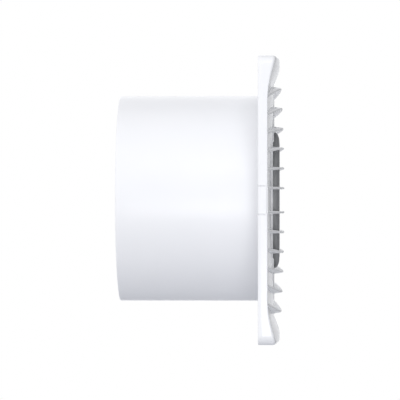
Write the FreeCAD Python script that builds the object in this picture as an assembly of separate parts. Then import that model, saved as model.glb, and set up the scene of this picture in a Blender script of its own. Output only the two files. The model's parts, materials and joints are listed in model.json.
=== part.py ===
"""Bathroom extractor fan for a 125 mm round duct.

Frame: millimetres, +Z up.  The origin is on the duct axis in the wall face.  The duct spigot
points along +Y into the wall, and the slatted cover faces the room along -Y.
A "depth" below is a distance in front of the wall face, so a point at depth d has Y = -d.
"""
import FreeCAD
import Part
import math
import os

V = FreeCAD.Vector
FRONT = V(0, -1, 0)
REAR = V(0, 1, 0)

# ---------------------------------------------------------------- duct spigot and back plate
spigot_outer_d = 124.0
spigot_wall = 2.0
spigot_length = 83.4
spigot_collar_step = 1.2      # the ring inside the plate stands this far out from the spigot
spigot_lip = 0.8              # small chamfer round the spigot's open end
plate_thickness = 2.0
mouth_round = 1.6             # rounded lip where the air enters the spigot

# ---------------------------------------------------------------- front cover
cover_size = 167.0            # square, measured edge to edge
cover_corner_r = 6.0
cover_drop = 1.1              # the square sits this much lower than the duct axis
cover_wall = 1.8
cover_edge_depth = 5.5        # depth of the front at the left and right edges
cover_mid_depth = 9.4         # depth of the front on the centre line
rim_swell = 3.55              # extra depth of the top and bottom bars on the centre line
rim_end_swell = 2.0           # and this much more again at their ends
rim_swell_reach = 12.0        # width of the curve from the slats up to a bar's crest
rim_crest_inset = 3.0         # from the cover's edge in to a bar's crest, on the centre line
plate_gap = 0.5               # between the back plate's edge and the cover's skirt

# ---------------------------------------------------------------- slats, ribs and centre disc
slat_pairs = 6
slat_thickness = 1.8
slat_mid_first = 7.3          # height of the first slat above the middle, on the centre line
slat_mid_pitch = 11.9
slat_end_first = 6.9          # the same at the left and right edges
slat_end_pitch = 10.5
slat_tip_depth = 15.9         # deepest slat, nearest the middle
slat_tip_loss = 0.07          # the depth falls by this times the square of the slat's number
slat_end_trim = 1.5           # the slats stop this far inside the left and right edges
rib_thickness = 2.0
rib_depth = 3.0
rib_offsets = (-42.0, -21.0, 0.0, 21.0, 42.0)
disc_r = 41.0
disc_face_r = 35.0
disc_face_depth = 13.0
disc_bevel_depth = 10.3
disc_wall = 1.6
disc_back_depth = 6.4

# ---------------------------------------------------------------- cover pegs and their sockets
peg_r = 2.5
peg_clearance = 0.1
peg_socket_wall = 1.6
peg_socket_height = 3.8
peg_tip_gap = 0.6
peg_x = 46.0
peg_inset = 12.5              # from the cover's top and bottom edges in to the pegs

# ---------------------------------------------------------------- insect screen
screen_ring_overlap = 1.0     # the ring's rim lies this far outside the round opening
screen_ring_width = 4.5
screen_ring_back = 4.0        # depth of the ring's back face
screen_ring_thickness = 1.3
screen_thickness = 0.4
screen_lug_r = 2.5

# ---------------------------------------------------------------- wall fixing and wiring
wall_hole_r = 2.25
wall_hole_inset = 16.5        # from the cover's edges in to the wall screws
cable_hole_r = 5.0
cable_hole_x = 33.0
wiring_gap = 9.0              # from the spigot down to the middle of the wiring
grommet_bore_r = 3.5
grommet_flange_r = 6.5
grommet_flange = 1.2
block_length = 24.0
block_width = 11.0
block_height = 3.9
block_x = -2.0
block_ways = 3
terminal_screw_r = 1.6
terminal_entry_r = 0.9
lid_wall = 1.0
lid_gap = 0.2
lid_ear = 5.0
clamp_x = 20.0
clamp_length = 12.0
clamp_width = 6.0
clamp_screw_r = 1.3
clamp_rise = 2.4

# ---------------------------------------------------------------- motor
air_gap = 0.4
shaft_r = 3.0
shaft_clearance = 0.02
rotor_r = 15.0
stack_length = 16.0
motor_gap = 12.0              # from the impeller hub's back to the laminated stack
stator_outer_r = 33.5
stator_yoke = 5.5
pole_count = 4
pole_width = 14.0
bobbin_wall = 0.8
bobbin_inset = 4.2            # from the pole face out to the bobbin
winding_thickness = 3.2
shading_slot = 1.0
shading_offset = 3.0
shading_wire = 0.9
shading_inset = 1.0           # from the pole face out to the shading ring
shading_width = 2.0
end_ring_thickness = 2.4
bell_length = 8.0
bell_plate = 2.0
bearing_r = 6.5
bearing_length = 6.0
bearing_boss_wall = 2.0
motor_screw_r = 1.5
motor_screw_head_r = 2.8
motor_screw_head = 2.2
motor_screw_inset = 2.7       # from the stack's outside in to the screws
motor_screw_hole_gap = 0.1
fuse_r = 0.95
fuse_length = 9.0

# ---------------------------------------------------------------- motor cradle
cradle_gap = 0.1
cradle_wall = 2.6
cradle_web = 2.2
cradle_web_inner_r = 22.0
arm_count = 4
arm_thickness = 2.6
arm_setback = 4.0             # from the stack's front back to the arms
foot_thickness = 4.0
foot_width = 10.0
foot_wall_gap = 0.3
boss_r = 4.2
boss_length = 16.0
cradle_screw_r = 1.6
cradle_screw_head_r = 3.0
cradle_screw_head = 2.0
cradle_screw_grip = 12.0

# ---------------------------------------------------------------- impeller
impeller_front = 3.0
hub_r = 30.0
hub_length = 21.0
hub_wall = 2.0
hub_round = 3.0
hub_boss_r = 7.0
blade_count = 7
blade_tip_gap = 3.5           # leaves room for the leads along the spigot wall
blade_thickness = 1.8
blade_root_chord = 24.0
blade_tip_chord = 30.0
blade_root_pitch = 46.0       # degrees between the chord and the plane of rotation
blade_tip_pitch = 27.0
blade_camber = 2.4
washer_r = 6.0
washer_thickness = 0.8
nut_flats = 8.0
nut_height = 3.8
shaft_front_stub = 0.6
shaft_rear_stub = 2.0

# ---------------------------------------------------------------- leads
lead_r = 0.7
lead_xs = (5.0, 7.4)
lead_wall_gap = 0.45
lead_plate_gap = 0.15
lead_bend_r = 3.0
lead_rise_gap = 4.5           # the leads turn in this far in front of the stack
lead_notch = 3.2

# ---------------------------------------------------------------- worked out from the above
spigot_r = spigot_outer_d / 2
spigot_collar_r = spigot_r + spigot_collar_step
duct_r = spigot_r - spigot_wall
grille_opening_r = duct_r
screen_ring_r = grille_opening_r + screen_ring_overlap
wiring_z = -spigot_r - wiring_gap
half = cover_size / 2
peg_z = half - peg_inset
wall_hole_spacing = cover_size - 2 * wall_hole_inset
bow = cover_mid_depth - cover_edge_depth
cover_reach = 30.0            # length of the blocks that the curved fronts are cut from
hub_back = impeller_front + hub_length
stack_front = hub_back + motor_gap
stator_inner_r = stator_outer_r - stator_yoke
motor_screw_pitch_r = stator_outer_r - motor_screw_inset
pole_inner_r = rotor_r + air_gap
bobbin_start_r = pole_inner_r + bobbin_inset
shading_start_r = pole_inner_r + shading_inset
lead_rise_y = stack_front - lead_rise_gap
arm_front = stack_front + arm_setback
stack_back = stack_front + stack_length
front_bell_y = stack_front - bell_length
rear_bell_y = stack_back + bell_length
bearing_boss_r = bearing_r + bearing_boss_wall
cradle_r = stator_outer_r + cradle_gap
cradle_outer_r = cradle_r + cradle_wall
foot_back = arm_front + foot_thickness
boss_ring_r = duct_r - boss_r + 0.4
impeller_r = duct_r - blade_tip_gap


def box(x0, x1, y0, y1, z0, z1):
    return Part.makeBox(x1 - x0, y1 - y0, z1 - z0, V(x0, y0, z0))


def rod(radius, y0, y1, x=0.0, z=0.0):
    """A cylinder along the duct axis from y0 to y1."""
    return Part.makeCylinder(radius, y1 - y0, V(x, y0, z), REAR)


def ring(outer, inner, y0, y1, x=0.0, z=0.0):
    return rod(outer, y0, y1, x, z).cut(rod(inner, y0 - 1, y1 + 1, x, z))


def spun(points):
    """A solid turned about the duct axis from (radius, y) corners."""
    corners = [V(radius, y, 0) for radius, y in points]
    face = Part.Face(Part.makePolygon(corners + corners[:1]))
    return face.revolve(V(0, 0, 0), REAR, 360)


def turned(shape, degrees):
    copy = shape.copy()
    copy.rotate(V(0, 0, 0), REAR, degrees)
    return copy


def around(shape, count, start=0.0):
    return [turned(shape, start + 360.0 * i / count) for i in range(count)]


def joined(shapes):
    return shapes[0].multiFuse(shapes[1:]).removeSplitter()


def on_angle(radius, degrees):
    """The x and z of a point on a circle round the duct axis."""
    angle = math.radians(degrees)
    return radius * math.cos(angle), radius * math.sin(angle)


def rounded_square(size, corner_r, y0, y1):
    """A square block with rounded corners, centred on the cover's own middle."""
    block = box(-size / 2, size / 2, y0, y1, -size / 2, size / 2)
    long_edges = [e for e in block.Edges if abs(e.tangentAt(e.FirstParameter).y) > 0.9]
    block = block.makeFillet(corner_r, long_edges)
    block.translate(V(0, 0, -cover_drop))
    return block


# ---------------------------------------------------------------- the curved front
def along(x):
    """How far a point is from the centre line, squared, 0 in the middle to 1 at the edge."""
    return (x / half) ** 2


def base_depth(x):
    return cover_mid_depth - bow * along(x)


def slat_height(number, x):
    """Height of a slat above the cover's middle; number 0 is nearest the middle."""
    middle = slat_mid_first + slat_mid_pitch * number
    end = slat_end_first + slat_end_pitch * number
    return middle - (middle - end) * along(x)


def slat_depth(number, x):
    tip = slat_tip_depth - slat_tip_loss * number ** 2
    return tip - (tip - cover_edge_depth) * along(x)


def front_depth(x, z):
    """Depth of the cover's front: bowed from side to side, with swollen bars above and below."""
    crest = half - rim_crest_inset
    start = slat_height(slat_pairs - 1, x) + slat_thickness / 2
    start = min(start, crest - rim_swell_reach)
    middle = min(max((abs(z) - start) / (crest - start), 0.0), 1.0)
    middle = middle * middle * (3 - 2 * middle)
    end = max((abs(z) - start) / (half - start), 0.0) ** 1.5
    share = middle + (end - middle) * along(x)
    return base_depth(x) + (rim_swell + rim_end_swell * along(x)) * share


def curved_block(depth_offset, reach):
    """Everything behind the cover's front surface, moved back by depth_offset."""
    span = half * 1.08
    columns = 13
    rows = 49
    grid = []
    for i in range(columns):
        x = span * (2.0 * i / (columns - 1) - 1)
        line = []
        for j in range(rows):
            z = span * (2.0 * j / (rows - 1) - 1)
            line.append(V(x, depth_offset - front_depth(x, z), z - cover_drop))
        grid.append(line)
    surface = Part.BSplineSurface()
    surface.interpolate(grid)
    return surface.toShape().extrude(V(0, reach, 0))


def bowed_block(depth_of, height, z_mid=0.0):
    """Everything behind a front that is bowed from side to side only."""
    count = 9
    curve_points = []
    for i in range(count):
        x = half * (2.0 * i / (count - 1) - 1)
        curve_points.append(V(x, -depth_of(x), z_mid - height / 2))
    curve = Part.BSplineCurve()
    curve.interpolate(curve_points)
    left = V(-half, cover_reach, z_mid - height / 2)
    right = V(half, cover_reach, z_mid - height / 2)
    outline = Part.Wire([curve.toShape(),
                         Part.makeLine(curve_points[-1], right),
                         Part.makeLine(right, left),
                         Part.makeLine(left, curve_points[0])])
    return Part.Face(outline).extrude(V(0, 0, height))


# ---------------------------------------------------------------- plate and spigot
def peg_places():
    return [(sx * peg_x, sz * peg_z - cover_drop) for sx in (-1, 1) for sz in (-1, 1)]


def wall_hole_places():
    reach = wall_hole_spacing / 2
    return [(sx * reach, sz * reach - cover_drop) for sx in (-1, 1) for sz in (-1, 1)]


def arm_angles():
    return [45.0 + 360.0 * i / arm_count for i in range(arm_count)]


def back_plate():
    """Square plate against the wall, round the spigot, with sockets for the cover's pegs."""
    plate_size = cover_size - 2 * (cover_wall + plate_gap)
    plate = rounded_square(plate_size, cover_corner_r - cover_wall, -plate_thickness, 0)
    sockets = []
    for x, z in peg_places():
        sockets.append(rod(peg_r + peg_clearance + peg_socket_wall,
                           -plate_thickness - peg_socket_height, 0, x, z))
    body = joined([plate] + sockets).cut(rod(spigot_collar_r, -plate_thickness - 1, 1))
    holes = [rod(wall_hole_r, -10, 1, x, z) for x, z in wall_hole_places()]
    holes += [rod(peg_r + peg_clearance, -10, 1, x, z) for x, z in peg_places()]
    holes.append(rod(cable_hole_r, -10, 1, cable_hole_x, wiring_z))
    for x, z in clamp_screw_places() + [lid_screw_place()]:
        holes.append(rod(clamp_screw_r, -10, 1, x, z))
    return body.cut(Part.makeCompound(holes))


def duct_spigot():
    """Round tube from the plate's front, with a rounded mouth and four bosses for the cradle."""
    tube = rod(spigot_r, -plate_thickness, spigot_length)
    lip = [e for e in tube.Edges if abs(e.CenterOfMass.y - spigot_length) < 0.01]
    tube = tube.makeChamfer(spigot_lip, lip).fuse(rod(spigot_collar_r, -plate_thickness, 0))
    tube = tube.cut(rod(duct_r, -plate_thickness - 1, spigot_length + 1)).removeSplitter()
    mouth = [e for e in tube.Edges
             if abs(e.CenterOfMass.y + plate_thickness) < 0.01
             and isinstance(e.Curve, Part.Circle) and abs(e.Curve.Radius - duct_r) < 0.01]
    tube = tube.makeFillet(mouth_round, mouth)
    bosses = []
    holes = []
    inside = rod(spigot_r - spigot_wall / 2, 0, spigot_length)
    for angle in arm_angles():
        x, z = on_angle(boss_ring_r, angle)
        bosses.append(rod(boss_r, foot_back, foot_back + boss_length, x, z).common(inside))
        holes.append(rod(cradle_screw_r, foot_back - 1, foot_back + cradle_screw_grip, x, z))
    return joined([tube] + bosses).cut(Part.makeCompound(holes))


# ---------------------------------------------------------------- cover
def cover_frame():
    """Square frame with a bowed front, swollen top and bottom bars, a skirt and four pegs."""
    outer = curved_block(0, cover_reach + 20)
    outer = outer.common(rounded_square(cover_size, cover_corner_r, -cover_reach, 0))
    inner = curved_block(cover_wall, cover_reach + 20)
    inner_size = cover_size - 2 * cover_wall
    inner = inner.common(rounded_square(inner_size, cover_corner_r - cover_wall, -cover_reach, 1))
    shell = outer.cut(inner)
    shell = shell.cut(rod(grille_opening_r, -cover_reach, 1, 0, -cover_drop))
    peg_root = curved_block(cover_wall / 2, cover_reach)
    pegs = [rod(peg_r, -cover_reach, -peg_tip_gap, x, z).common(peg_root) for x, z in peg_places()]
    return joined([shell] + pegs)


def disc_block():
    profile = [(0, -disc_back_depth), (disc_r, -disc_back_depth),
               (disc_r, -disc_bevel_depth),
               (disc_face_r, -disc_face_depth - 1), (0, -disc_face_depth - 1)]
    turned_block = spun(profile)
    turned_block.translate(V(0, 0, -cover_drop))
    front = bowed_block(lambda x: disc_face_depth - bow * along(x), 4 * disc_r)
    return turned_block.common(front)


def centre_disc():
    """Shallow bowed dish in the middle of the slats, open to the rear."""
    inside = [(0, -disc_back_depth + 1), (disc_r - disc_wall, -disc_back_depth + 1),
              (disc_r - disc_wall, -disc_bevel_depth + disc_wall / 2),
              (disc_face_r - disc_wall, -disc_face_depth),
              (0, -disc_face_depth)]
    hollow = spun(inside)
    hollow.translate(V(0, 0, -cover_drop))
    behind = bowed_block(lambda x: disc_face_depth - disc_wall - bow * along(x), 4 * disc_r)
    return disc_block().cut(hollow.common(behind))


def behind_slats():
    """What the slats stop at: the frame's front, or its back surface inside the round opening."""
    opening = rod(grille_opening_r, -cover_reach, cover_reach, 0, -cover_drop)
    frame_front = bowed_block(base_depth, 3 * half)
    frame_back = bowed_block(lambda x: base_depth(x) - cover_wall, 3 * half)
    return frame_front.cut(opening).fuse(frame_back)


def slat(number, side):
    """One full-width slat: an arched band, cut to its own bowed front edge."""
    count = 9
    low = []
    high = []
    reach = half - slat_end_trim
    for i in range(count):
        x = reach * (2.0 * i / (count - 1) - 1)
        z = side * slat_height(number, x) - cover_drop
        low.append(V(x, -cover_reach, z - slat_thickness / 2))
        high.append(V(x, -cover_reach, z + slat_thickness / 2))
    low_curve = Part.BSplineCurve()
    low_curve.interpolate(low)
    high_curve = Part.BSplineCurve()
    high_curve.interpolate(high)
    outline = Part.Wire([low_curve.toShape(), Part.makeLine(low[-1], high[-1]),
                         high_curve.toShape(), Part.makeLine(high[0], low[0])])
    band = Part.Face(outline).extrude(V(0, cover_reach, 0))
    front = bowed_block(lambda x: slat_depth(number, x), 3 * half)
    return band.common(front).cut(behind_slats())


def slat_grille():
    """Twelve slats.  Upright ribs inside the round opening join the inner ten."""
    disc = disc_block()
    slats = [slat(number, side) for side in (-1, 1) for number in range(slat_pairs)]
    slats = [one.cut(disc) for one in slats]
    slats = [max(one.Solids, key=lambda solid: solid.Volume) for one in slats]
    opening = rod(grille_opening_r, -cover_reach, 1, 0, -cover_drop)
    ribs = []
    for x in rib_offsets:
        depth = base_depth(x)
        rib = box(x - rib_thickness / 2, x + rib_thickness / 2, -depth, -depth + rib_depth,
                  -half - cover_drop, half - cover_drop)
        ribs += rib.common(opening).cut(disc).Solids
    return slats[0].multiFuse(slats[1:] + ribs)


def screen_frame():
    """Ring that holds the insect screen, with four lugs that reach the outermost ribs."""
    front = -screen_ring_back - screen_ring_thickness
    hoop = ring(screen_ring_r, screen_ring_r - screen_ring_width, front, -screen_ring_back,
                0, -cover_drop)
    lugs = []
    lug_ring_r = screen_ring_r - screen_ring_width / 2
    rib_back = base_depth(rib_offsets[-1]) - rib_depth
    lug_x = rib_offsets[-1]
    lug_z = math.sqrt(lug_ring_r ** 2 - lug_x ** 2)
    for x, z in ((lug_x, lug_z), (-lug_x, lug_z), (lug_x, -lug_z), (-lug_x, -lug_z)):
        lugs.append(rod(screen_lug_r, -rib_back, front + 0.2, x, z - cover_drop))
    hoop = joined([hoop] + lugs)
    groove = rod(screen_ring_r - screen_ring_width / 2, -screen_ring_back - screen_thickness,
                 1, 0, -cover_drop)
    return hoop.cut(groove)


def insect_screen():
    return rod(screen_ring_r - screen_ring_width / 2, -screen_ring_back - screen_thickness,
               -screen_ring_back, 0, -cover_drop)


# ---------------------------------------------------------------- wiring
def clamp_screw_places():
    reach = clamp_length / 2 - clamp_width / 4 - clamp_screw_r
    return [(clamp_x, wiring_z - reach), (clamp_x, wiring_z + reach)]


def lid_screw_place():
    return block_x - block_length / 2 - lid_wall - lid_gap - lid_ear / 2, wiring_z


def block_way_places():
    pitch = block_length / block_ways
    return [block_x - block_length / 2 + pitch * (i + 0.5) for i in range(block_ways)]


def terminal_block():
    x0 = block_x - block_length / 2
    z0 = wiring_z - block_width / 2
    body = box(x0, x0 + block_length, -plate_thickness - block_height, -plate_thickness,
               z0, z0 + block_width)
    upright = [e for e in body.Edges if abs(e.tangentAt(e.FirstParameter).y) > 0.9]
    body = body.makeFillet(0.8, upright)
    cuts = []
    for x in block_way_places():
        for side in (-1, 1):
            z = wiring_z + side * block_width / 4
            cuts.append(rod(terminal_screw_r, -plate_thickness - block_height - 1,
                            -plate_thickness - block_height / 2, x, z))
        entry = Part.makeCylinder(terminal_entry_r, block_width + 2,
                                  V(x, -plate_thickness - block_height / 3, z0 - 1), V(0, 0, 1))
        cuts.append(entry)
    for x in block_way_places()[:-1]:
        slot_x = x + block_length / block_ways / 2
        cuts.append(box(slot_x - 0.4, slot_x + 0.4, -plate_thickness - block_height - 1,
                        -plate_thickness - block_height + 1.2, z0 - 1, z0 + block_width + 1))
    return body.cut(Part.makeCompound(cuts))


def terminal_screws():
    screws = []
    top = -plate_thickness - block_height
    for x in block_way_places():
        for side in (-1, 1):
            z = wiring_z + side * block_width / 4
            screw = rod(terminal_screw_r - 0.1, top + 0.6, top + block_height / 2, x, z)
            slot = box(x - terminal_screw_r, x + terminal_screw_r, top, top + 1.2, z - 0.25, z + 0.25)
            screws.append(screw.cut(slot))
    return Part.makeCompound(screws)


def wiring_cover():
    """Small lid over the terminal block, held by one screw through its ear."""
    x0 = block_x - block_length / 2 - lid_gap
    x1 = block_x + block_length / 2 + lid_gap
    z0 = wiring_z - block_width / 2 - lid_gap
    z1 = wiring_z + block_width / 2 + lid_gap
    front = -plate_thickness - block_height - lid_gap
    outer = box(x0 - lid_wall, x1 + lid_wall, front - lid_wall, -plate_thickness,
                z0 - lid_wall, z1 + lid_wall)
    inner = box(x0, x1, front, 0, z0, z1)
    ear = box(x0 - lid_wall - lid_ear, x0 - lid_wall / 2, -plate_thickness - lid_wall,
              -plate_thickness, wiring_z - lid_ear / 2, wiring_z + lid_ear / 2)
    upright = [e for e in outer.Edges if abs(e.tangentAt(e.FirstParameter).y) > 0.9]
    lid = joined([outer.makeFillet(1.0, upright), ear]).cut(inner)
    x, z = lid_screw_place()
    gaps = [rod(clamp_screw_r + 0.1, -20, 1, x, z)]
    gaps.append(box(min(lead_xs) - lead_r - 0.5, max(lead_xs) + lead_r + 0.5,
                    -plate_thickness - 2 * lead_r - 1.2, 0, z1 - 0.1, z1 + lid_wall + 1))
    return lid.cut(Part.makeCompound(gaps))


def pan_screw(x, z, head_back, head_r, head_height, shank_r, shank_length):
    """A pan-head screw whose head rests at Y = head_back, with a crossed recess."""
    head = rod(head_r, head_back - head_height, head_back, x, z)
    crown = [e for e in head.Edges if abs(e.CenterOfMass.y - head_back + head_height) < 0.01]
    head = head.makeFillet(head_height * 0.6, crown)
    screw = head.fuse(rod(shank_r, head_back, head_back + shank_length, x, z))
    arm = head_r * 0.55
    depth = head_back - head_height * 0.45
    top = head_back - head_height - 1
    slit = head_r * 0.12
    cross = [box(x - arm, x + arm, top, depth, z - slit, z + slit),
             box(x - slit, x + slit, top, depth, z - arm, z + arm)]
    return screw.cut(Part.makeCompound(cross)).removeSplitter()


def wiring_cover_screw():
    x, z = lid_screw_place()
    grip = lid_wall + plate_thickness - 0.2
    return pan_screw(x, z, -plate_thickness - lid_wall, 2.3, 1.5, clamp_screw_r - 0.05, grip)


def cable_clamp():
    """Arched saddle that grips the mains cable, with a screw each side."""
    x0 = clamp_x - clamp_width / 2
    z0 = wiring_z - clamp_length / 2
    bar = box(x0, x0 + clamp_width, -plate_thickness - clamp_rise - 1.6, -plate_thickness,
              z0, z0 + clamp_length)
    tunnel = Part.makeCylinder(clamp_rise, clamp_width + 2,
                               V(x0 - 1, -plate_thickness, wiring_z), V(1, 0, 0))
    tip = [e for e in bar.Edges if abs(e.tangentAt(e.FirstParameter).x) > 0.9
           and e.CenterOfMass.y < -plate_thickness - 1]
    bar = bar.makeFillet(1.5, tip).cut(tunnel)
    holes = [rod(clamp_screw_r + 0.1, -20, 1, x, z) for x, z in clamp_screw_places()]
    seats = [rod(2.3 + 0.3, -20, -plate_thickness - clamp_rise, x, z)
             for x, z in clamp_screw_places()]
    return bar.cut(Part.makeCompound(holes + seats))


def clamp_screws():
    grip = clamp_rise + plate_thickness - 0.2
    return Part.makeCompound([pan_screw(x, z, -plate_thickness - clamp_rise, 2.2, 1.4,
                                        clamp_screw_r - 0.05, grip)
                              for x, z in clamp_screw_places()])


def cable_grommet():
    """Soft bush in the plate's cable hole, with a flange on the front only."""
    bush = rod(cable_hole_r, -plate_thickness, 0, cable_hole_x, wiring_z)
    flange = rod(grommet_flange_r, -plate_thickness - grommet_flange, -plate_thickness,
                 cable_hole_x, wiring_z)
    bore = rod(grommet_bore_r, -10, 1, cable_hole_x, wiring_z)
    return joined([bush, flange]).cut(bore)


# ---------------------------------------------------------------- motor
def pole_block(width, inner, outer, y0, y1):
    """A radial block along +X."""
    return box(inner, outer, y0, y1, -width / 2, width / 2)


def screw_angles():
    return [360.0 * i / pole_count for i in range(pole_count)]


def stator_core():
    hoop = ring(stator_outer_r, stator_inner_r, stack_front, stack_back)
    pole = pole_block(pole_width, rotor_r - 2, stator_inner_r + 1, stack_front, stack_back)
    core = joined([hoop] + around(pole, pole_count, 45))
    core = core.cut(rod(pole_inner_r, stack_front - 1, stack_back + 1))
    slot = box(rotor_r - 2, shading_start_r + shading_width, stack_front - 1, stack_back + 1,
               shading_offset - shading_slot, shading_offset)
    cuts = around(slot, pole_count, 45)
    for angle in screw_angles():
        x, z = on_angle(motor_screw_pitch_r, angle)
        cuts.append(rod(motor_screw_r + motor_screw_hole_gap, stack_front - 1, stack_back + 1, x, z))
    return core.cut(Part.makeCompound(cuts))


def shading_rings():
    """Closed copper loops round one side of each pole tip."""
    inner_z = shading_offset
    outer = box(shading_start_r, shading_start_r + shading_width,
                stack_front - shading_wire, stack_back + shading_wire,
                inner_z - shading_wire, pole_width / 2 + shading_wire)
    inner = box(shading_start_r - 1, shading_start_r + shading_width + 1, stack_front, stack_back,
                inner_z, pole_width / 2)
    return Part.makeCompound(around(outer.cut(inner), pole_count, 45))


def coil_bobbins():
    end_r = stator_inner_r - 0.6
    core = pole_block(pole_width + 2 * bobbin_wall, bobbin_start_r, end_r,
                      stack_front - bobbin_wall, stack_back + bobbin_wall)
    extra = bobbin_wall + winding_thickness + 0.4
    cheeks = []
    for r0 in (bobbin_start_r, end_r - bobbin_wall):
        cheeks.append(pole_block(pole_width + 2 * extra, r0, r0 + bobbin_wall,
                                 stack_front - extra, stack_back + extra))
    tunnel = pole_block(pole_width, 0, stator_outer_r, stack_front, stack_back)
    bobbin = joined([core] + cheeks).cut(tunnel)
    bobbin = bobbin.common(rod(stator_inner_r - 0.1, stack_front - 10, stack_back + 10))
    return Part.makeCompound(around(bobbin, pole_count, 45))


def coil_windings():
    start = bobbin_start_r + bobbin_wall
    end = stator_inner_r - 0.6 - bobbin_wall
    extra = bobbin_wall + winding_thickness
    outer = pole_block(pole_width + 2 * extra, start, end, stack_front - extra, stack_back + extra)
    lengthwise = [e for e in outer.Edges if abs(e.tangentAt(e.FirstParameter).x) > 0.9]
    outer = outer.makeFillet(2.4, lengthwise)
    inner = pole_block(pole_width + 2 * bobbin_wall, start - 1, end + 1,
                       stack_front - bobbin_wall, stack_back + bobbin_wall)
    coil = outer.cut(inner).common(rod(stator_inner_r - 0.1, stack_front - 10, stack_back + 10))
    return Part.makeCompound(around(coil, pole_count, 45))


def rotor_core():
    return ring(rotor_r, shaft_r, stack_front, stack_back)


def rotor_end_rings():
    outer = rotor_r - 0.6
    inner = rotor_r * 0.6
    return Part.makeCompound([ring(outer, inner, stack_front - end_ring_thickness, stack_front),
                              ring(outer, inner, stack_back, stack_back + end_ring_thickness)])


def motor_shaft():
    front = impeller_front - washer_thickness - nut_height - shaft_front_stub
    shaft = rod(shaft_r, front, rear_bell_y + shaft_rear_stub)
    ends = [e for e in shaft.Edges if isinstance(e.Curve, Part.Circle)]
    return shaft.makeChamfer(0.4, ends)


def bearing_at(y0):
    return ring(bearing_r, shaft_r + shaft_clearance, y0, y0 + bearing_length)


def bell(outer_y, inner_y, boss_y0, boss_y1):
    """A motor end bell: rim, plate with four windows, and a bearing boss."""
    low = min(outer_y, inner_y)
    high = max(outer_y, inner_y)
    plate_y0 = low if outer_y < inner_y else high - bell_plate
    rim = ring(stator_outer_r, stator_inner_r, low, high)
    plate = rod(stator_inner_r + 1, plate_y0, plate_y0 + bell_plate)
    boss = rod(bearing_boss_r, boss_y0, boss_y1)
    body = joined([rim, plate, boss])
    window = ring(stator_inner_r - 2.5, bearing_boss_r + 3, plate_y0 - 1, plate_y0 + bell_plate + 1)
    wedge = box(0, stator_outer_r, plate_y0 - 2, plate_y0 + bell_plate + 2, -6, 6)
    cuts = [window.common(w) for w in around(wedge, pole_count, 45)]
    cuts.append(rod(bearing_r, boss_y0 - 1, boss_y1 + 1))
    for angle in screw_angles():
        x, z = on_angle(motor_screw_pitch_r, angle)
        cuts.append(rod(motor_screw_r + motor_screw_hole_gap, low - 1, high + 1, x, z))
    return body.cut(Part.makeCompound(cuts))


def front_bracket():
    body = bell(front_bell_y, stack_front, front_bell_y - 2, front_bell_y - 2 + bearing_length)
    x0 = min(lead_xs) - lead_r - 0.4
    x1 = max(lead_xs) + lead_r + 0.4
    notch = box(x0, x1, lead_rise_y - lead_notch / 2, lead_rise_y + lead_notch / 2,
                -stator_outer_r - 1, -stator_inner_r + 5)
    return body.cut(notch)


def rear_bracket():
    return bell(rear_bell_y, stack_back, rear_bell_y + 1 - bearing_length, rear_bell_y + 1)


def motor_screws():
    screws = []
    length = rear_bell_y + cradle_web - front_bell_y
    for angle in screw_angles():
        x, z = on_angle(motor_screw_pitch_r, angle)
        screws.append(pan_screw(x, z, front_bell_y, motor_screw_head_r, motor_screw_head,
                                motor_screw_r, length))
    return Part.makeCompound(screws)


def thermal_fuse():
    """Small sealed fuse that lies on the front of the upper right coil."""
    y = stack_front - bobbin_wall - winding_thickness - fuse_r
    middle_r = (bobbin_start_r + stator_inner_r) / 2
    fuse = Part.makeCylinder(fuse_r, fuse_length, V(middle_r, y, -fuse_length / 2), V(0, 0, 1))
    ends = [e for e in fuse.Edges if isinstance(e.Curve, Part.Circle)]
    return turned(fuse.makeFillet(0.4, ends), 45)


# ---------------------------------------------------------------- cradle
def motor_cradle():
    """Cup round the motor with four arms whose feet are screwed to bosses in the spigot."""
    cup = ring(cradle_outer_r, cradle_r, stack_front - 2, rear_bell_y)
    web = ring(cradle_outer_r, cradle_web_inner_r, rear_bell_y, rear_bell_y + cradle_web)
    arm_end_r = boss_ring_r - boss_r - 0.4
    arm = pole_block(arm_thickness, cradle_r + cradle_wall / 2, arm_end_r,
                     arm_front, rear_bell_y - 2)
    foot = pole_block(foot_width, arm_end_r - 2, duct_r, arm_front, foot_back)
    foot = foot.common(rod(duct_r - foot_wall_gap, arm_front - 1, foot_back + 1))
    arms = around(arm, arm_count, 45)
    feet = around(foot, arm_count, 45)
    body = joined([cup, web] + arms + feet)
    cuts = []
    for angle in arm_angles():
        x, z = on_angle(boss_ring_r, angle)
        cuts.append(rod(cradle_screw_r + 0.2, arm_front - 1, foot_back + 1, x, z))
    for angle in screw_angles():
        x, z = on_angle(motor_screw_pitch_r, angle)
        cuts.append(rod(motor_screw_r, rear_bell_y - 1, rear_bell_y + cradle_web + 1, x, z))
    return body.cut(Part.makeCompound(cuts))


def cradle_screws():
    screws = []
    for angle in arm_angles():
        x, z = on_angle(boss_ring_r, angle)
        length = foot_thickness + cradle_screw_grip - 1
        screws.append(pan_screw(x, z, arm_front, cradle_screw_head_r, cradle_screw_head,
                                cradle_screw_r, length))
    return Part.makeCompound(screws)


# ---------------------------------------------------------------- impeller
def blade_section(radius, chord, pitch_degrees):
    """A curved blade outline in the plane at this radius from the axis."""
    pitch = math.radians(pitch_degrees)
    middle_y = impeller_front + hub_length / 2
    top = []
    for offset in (blade_thickness / 2, -blade_thickness / 2):
        row = []
        for share in (-0.5, 0.0, 0.5):
            rise = blade_camber * (1 - 4 * share * share) + offset
            along_chord = share * chord
            s = along_chord * math.cos(pitch) + rise * math.sin(pitch)
            y = -along_chord * math.sin(pitch) + rise * math.cos(pitch)
            row.append(V(radius, middle_y + y, s))
        top.append(row)
    upper, lower = top
    return Part.Wire([Part.Arc(*upper).toShape(), Part.makeLine(upper[2], lower[2]),
                      Part.Arc(lower[2], lower[1], lower[0]).toShape(),
                      Part.makeLine(lower[0], upper[0])])


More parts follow.
